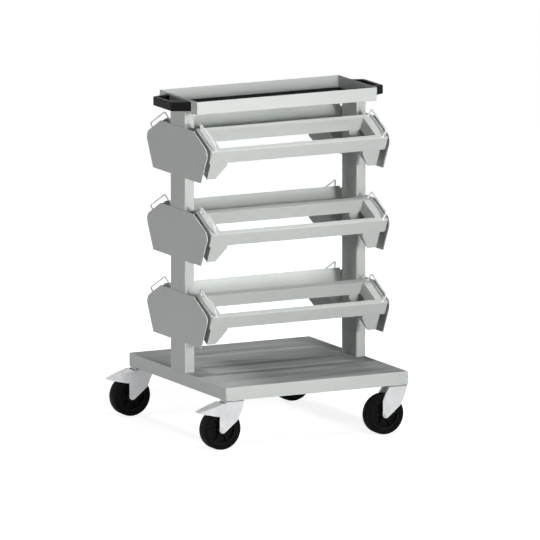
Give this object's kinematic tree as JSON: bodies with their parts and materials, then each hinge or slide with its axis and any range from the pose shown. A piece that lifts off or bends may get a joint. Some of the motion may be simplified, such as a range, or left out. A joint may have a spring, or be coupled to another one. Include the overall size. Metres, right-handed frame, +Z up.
{
  "type": "tool trolley",
  "caption": "Two-sided workshop trolley on swivel casters: tilted lift-off tool carriers between hexagonal side plates on posts, with a tray and push handles on top.",
  "frame": {"origin": "on the floor under the middle of the base", "axes": "+Z up, +X to the right along the carriers, +Y to the rear; the braked casters are on the left, at -X"},
  "size_m": [0.7562, 0.6694, 1.035],
  "materials": {
    "powder_coat": "light grey powder coat, satin with fine orange peel",
    "zinc": "bright zinc plate",
    "bright_wire": "bright plated wire",
    "handle_plastic": "black, fine grain",
    "wheel_plastic": "black, moulded",
    "tyre_rubber": "black solid rubber",
    "mat_rubber": "black ribbed rubber mat"
  },
  "bodies": {
    "trolley_frame": {"base_platform": "powder_coat", "base_rails": "powder_coat", "left_post": "powder_coat", "right_post": "powder_coat", "post_end_blocks": "zinc", "post_screws": "zinc", "left_upper_plate": "powder_coat", "left_middle_plate": "powder_coat", "left_lower_plate": "powder_coat", "right_upper_plate": "powder_coat", "right_middle_plate": "powder_coat", "right_lower_plate": "powder_coat", "plate_nuts": "zinc", "left_carrier_hooks": "powder_coat", "right_carrier_hooks": "powder_coat", "tray_floor": "powder_coat", "tray_walls": "powder_coat", "tray_mat": "mat_rubber", "left_push_handle": "handle_plastic", "right_push_handle": "handle_plastic", "handle_screws": "zinc", "caster_heads": "zinc", "caster_bolts": "zinc", "caster_nuts": "zinc"},
    "upper_front_rack": {"upper_front_carrier": "powder_coat", "upper_front_end_boxes": "powder_coat", "upper_front_bows": "bright_wire"},
    "upper_rear_rack": {"upper_rear_carrier": "powder_coat", "upper_rear_end_boxes": "powder_coat", "upper_rear_bows": "bright_wire"},
    "middle_front_rack": {"middle_front_carrier": "powder_coat", "middle_front_end_boxes": "powder_coat", "middle_front_bows": "bright_wire"},
    "middle_rear_rack": {"middle_rear_carrier": "powder_coat", "middle_rear_end_boxes": "powder_coat", "middle_rear_bows": "bright_wire"},
    "lower_front_rack": {"lower_front_carrier": "powder_coat", "lower_front_end_boxes": "powder_coat", "lower_front_bows": "bright_wire"},
    "lower_rear_rack": {"lower_rear_carrier": "powder_coat", "lower_rear_end_boxes": "powder_coat", "lower_rear_bows": "bright_wire"},
    "front_left_swivel": {"front_left_fork": "zinc", "front_left_axle": "zinc"},
    "front_left_wheel": {"front_left_tyre": "tyre_rubber", "front_left_wheel_core": "wheel_plastic"},
    "front_left_brake": {"front_left_brake_pedal": "zinc"},
    "front_right_swivel": {"front_right_fork": "zinc", "front_right_axle": "zinc"},
    "front_right_wheel": {"front_right_tyre": "tyre_rubber", "front_right_wheel_core": "wheel_plastic"},
    "rear_left_swivel": {"rear_left_fork": "zinc", "rear_left_axle": "zinc"},
    "rear_left_wheel": {"rear_left_tyre": "tyre_rubber", "rear_left_wheel_core": "wheel_plastic"},
    "rear_left_brake": {"rear_left_brake_pedal": "zinc"},
    "rear_right_swivel": {"rear_right_fork": "zinc", "rear_right_axle": "zinc"},
    "rear_right_wheel": {"rear_right_tyre": "tyre_rubber", "rear_right_wheel_core": "wheel_plastic"}
  },
  "joints": [
    {"name": "upper_front_lift", "type": "slide", "parent": "trolley_frame", "child": "upper_front_rack", "axis": [0, -0.454, 0.891], "range_m": [0, 0.045]},
    {"name": "upper_rear_lift", "type": "slide", "parent": "trolley_frame", "child": "upper_rear_rack", "axis": [0, 0.454, 0.891], "range_m": [0, 0.045]},
    {"name": "middle_front_lift", "type": "slide", "parent": "trolley_frame", "child": "middle_front_rack", "axis": [0, -0.454, 0.891], "range_m": [0, 0.045]},
    {"name": "middle_rear_lift", "type": "slide", "parent": "trolley_frame", "child": "middle_rear_rack", "axis": [0, 0.454, 0.891], "range_m": [0, 0.045]},
    {"name": "lower_front_lift", "type": "slide", "parent": "trolley_frame", "child": "lower_front_rack", "axis": [0, -0.454, 0.891], "range_m": [0, 0.045]},
    {"name": "lower_rear_lift", "type": "slide", "parent": "trolley_frame", "child": "lower_rear_rack", "axis": [0, 0.454, 0.891], "range_m": [0, 0.045]},
    {"name": "front_left_swivel_turn", "type": "hinge", "parent": "trolley_frame", "child": "front_left_swivel", "pos_m": [-0.277, -0.308, 0.14625], "axis": [0, 0, 1], "continuous": true},
    {"name": "front_left_wheel_roll", "type": "hinge", "parent": "front_left_swivel", "child": "front_left_wheel", "pos_m": [-0.3197, -0.308, 0.0625], "axis": [0, 1, 0], "continuous": true},
    {"name": "front_left_brake_press", "type": "hinge", "parent": "front_left_swivel", "child": "front_left_brake", "pos_m": [-0.3097, -0.308, 0.131], "axis": [0, -1, 0], "range_deg": [0, 8]},
    {"name": "front_right_swivel_turn", "type": "hinge", "parent": "trolley_frame", "child": "front_right_swivel", "pos_m": [0.277, -0.308, 0.14625], "axis": [0, 0, 1], "continuous": true},
    {"name": "front_right_wheel_roll", "type": "hinge", "parent": "front_right_swivel", "child": "front_right_wheel", "pos_m": [0.2343, -0.308, 0.0625], "axis": [0, 1, 0], "continuous": true},
    {"name": "rear_left_swivel_turn", "type": "hinge", "parent": "trolley_frame", "child": "rear_left_swivel", "pos_m": [-0.277, 0.308, 0.14625], "axis": [0, 0, 1], "continuous": true},
    {"name": "rear_left_wheel_roll", "type": "hinge", "parent": "rear_left_swivel", "child": "rear_left_wheel", "pos_m": [-0.3197, 0.308, 0.0625], "axis": [0, 1, 0], "continuous": true},
    {"name": "rear_left_brake_press", "type": "hinge", "parent": "rear_left_swivel", "child": "rear_left_brake", "pos_m": [-0.3097, 0.308, 0.131], "axis": [0, -1, 0], "range_deg": [0, 8]},
    {"name": "rear_right_swivel_turn", "type": "hinge", "parent": "trolley_frame", "child": "rear_right_swivel", "pos_m": [0.277, 0.308, 0.14625], "axis": [0, 0, 1], "continuous": true},
    {"name": "rear_right_wheel_roll", "type": "hinge", "parent": "rear_right_swivel", "child": "rear_right_wheel", "pos_m": [0.2343, 0.308, 0.0625], "axis": [0, 1, 0], "continuous": true}
  ]
}
